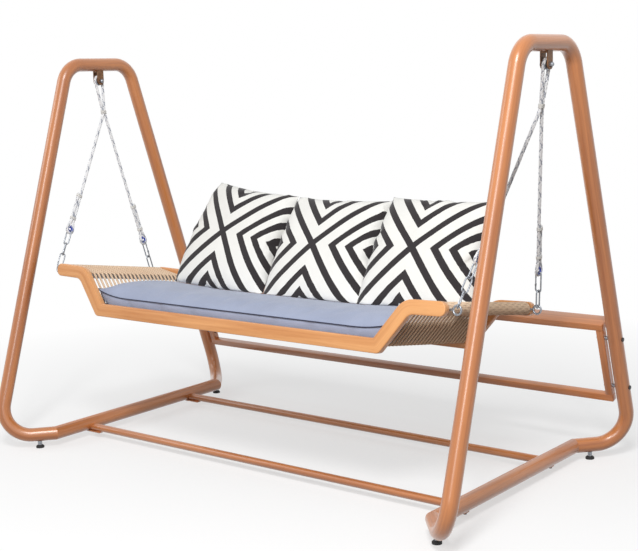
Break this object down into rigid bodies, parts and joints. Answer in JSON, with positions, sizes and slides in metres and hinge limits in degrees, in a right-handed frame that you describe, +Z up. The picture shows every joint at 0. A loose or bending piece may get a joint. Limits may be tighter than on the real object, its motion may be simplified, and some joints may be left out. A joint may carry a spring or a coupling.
{
  "type": "garden swing seat",
  "caption": "Free-standing garden swing seat: tube end frames, rear panel, rope-hung cord seat with a cushion and striped pillows, swings and sways on its hanger bolts",
  "frame": {"origin": "on the floor, below the middle of the stand", "axes": "+X runs along the seat to its right-hand end as seen from the front, +Y to the back, +Z up"},
  "size_m": [2.412, 1.4028, 1.714],
  "materials": {
    "paint": "satin",
    "bronze": "satin",
    "dark_bolts": "satin",
    "black_caps": "matte",
    "feet_rubber": "matte",
    "zinc": "satin",
    "bar_steel": "satin",
    "nylon": "satin",
    "rope_white": "matte",
    "binding": "matte",
    "thimble_blue": "satin",
    "rail_board": "satin",
    "seat_cord": "matte",
    "cushion": "matte",
    "pillow": "matte"
  },
  "bodies": {
    "stand": {"left_hoop": "paint", "right_hoop": "paint", "left_bottom_rail": "paint", "right_bottom_rail": "paint", "front_stretcher": "paint", "rear_stretcher": "paint", "stretcher_bolts": "dark_bolts", "foot_pads": "feet_rubber", "foot_studs": "zinc", "panel_top_board": "paint", "panel_lower_bar": "paint", "left_panel_post": "paint", "right_panel_post": "paint", "panel_bolts": "dark_bolts", "panel_spacers": "zinc", "bolt_caps": "black_caps", "left_bracket": "bronze", "right_bracket": "bronze", "hanger_bolts": "zinc", "hanger_nuts": "zinc"},
    "left_pivot": {"left_bush": "nylon"},
    "right_pivot": {"right_bush": "nylon"},
    "left_ropes": {"left_rope": "rope_white", "left_top_thimble": "zinc", "left_thimbles": "thimble_blue", "left_bindings": "binding", "left_links": "zinc", "left_hooks": "zinc", "left_gate_pins": "zinc"},
    "right_ropes": {"right_rope": "rope_white", "right_top_thimble": "zinc", "right_thimbles": "thimble_blue", "right_bindings": "binding", "right_links": "zinc", "right_hooks": "zinc", "right_gate_pins": "zinc"},
    "left_front_gate": {"left_front_gate": "zinc"},
    "left_rear_gate": {"left_rear_gate": "zinc"},
    "right_front_gate": {"right_front_gate": "zinc"},
    "right_rear_gate": {"right_rear_gate": "zinc"},
    "seat": {"front_rail": "rail_board", "rear_rail": "rail_board", "left_end_bar": "bar_steel", "right_end_bar": "bar_steel", "arm_corner_bars": "bar_steel", "seat_corner_bars": "bar_steel", "seat_bearers": "bar_steel", "seat_cord": "seat_cord", "back_frame": "bar_steel", "back_cord": "seat_cord", "eyebolts": "zinc", "eyebolt_washers": "zinc", "eyebolt_nuts": "zinc", "seat_cushion": "cushion", "left_pillow": "pillow", "middle_pillow": "pillow", "right_pillow": "pillow"}
  },
  "joints": [
    {"name": "swing", "type": "hinge", "parent": "stand", "child": "left_pivot", "pos_m": [-1.172, 0, 1.609], "axis": [1, 0, 0], "range_deg": [-18, 18]},
    {"name": "right_swing", "type": "hinge", "parent": "stand", "child": "right_pivot", "pos_m": [1.172, 0, 1.609], "axis": [1, 0, 0], "range_deg": [-18, 18]},
    {"name": "sway", "type": "hinge", "parent": "left_pivot", "child": "left_ropes", "pos_m": [-1.172, 0, 1.609], "axis": [0, 0.9871, -0.1599], "range_deg": [-2, 2]},
    {"name": "seat_hang", "type": "hinge", "parent": "left_ropes", "child": "seat", "pos_m": [-1.04672, -0.40504, 0.79601], "axis": [0, 0.9871, -0.1599], "range_deg": [-2.3, 2.3]},
    {"name": "right_sway", "type": "hinge", "parent": "right_pivot", "child": "right_ropes", "pos_m": [1.172, 0, 1.609], "axis": [0, 0.9871, -0.1599], "range_deg": [-2, 2]},
    {"name": "right_front_gate_hinge", "type": "hinge", "parent": "right_ropes", "child": "right_front_gate", "pos_m": [1.0537, -0.40513, 0.81519], "axis": [-0.8943, -0.3082, 0.3244], "range_deg": [0, 20], "stiffness_Nm_per_rad": 0.05},
    {"name": "left_front_gate_hinge", "type": "hinge", "parent": "left_ropes", "child": "left_front_gate", "pos_m": [-1.0538, -0.40477, 0.81579], "axis": [-0.8943, 0.3082, -0.3244], "range_deg": [0, 20], "stiffness_Nm_per_rad": 0.05},
    {"name": "right_rear_gate_hinge", "type": "hinge", "parent": "right_ropes", "child": "right_rear_gate", "pos_m": [1.04805, 0.13898, 0.79522], "axis": [0.0485, 0.9823, 0.1811], "range_deg": [0, 20], "stiffness_Nm_per_rad": 0.05},
    {"name": "left_rear_gate_hinge", "type": "hinge", "parent": "left_ropes", "child": "left_rear_gate", "pos_m": [-1.04815, 0.13885, 0.7959], "axis": [0.0485, -0.9823, -0.1811], "range_deg": [0, 20], "stiffness_Nm_per_rad": 0.05}
  ],
  "couplings": [
    {"joint": "right_swing", "follows": "swing", "ratio": 1},
    {"joint": "seat_hang", "follows": "sway", "ratio": -1.1197},
    {"joint": "right_sway", "follows": "sway", "ratio": 1}
  ]
}
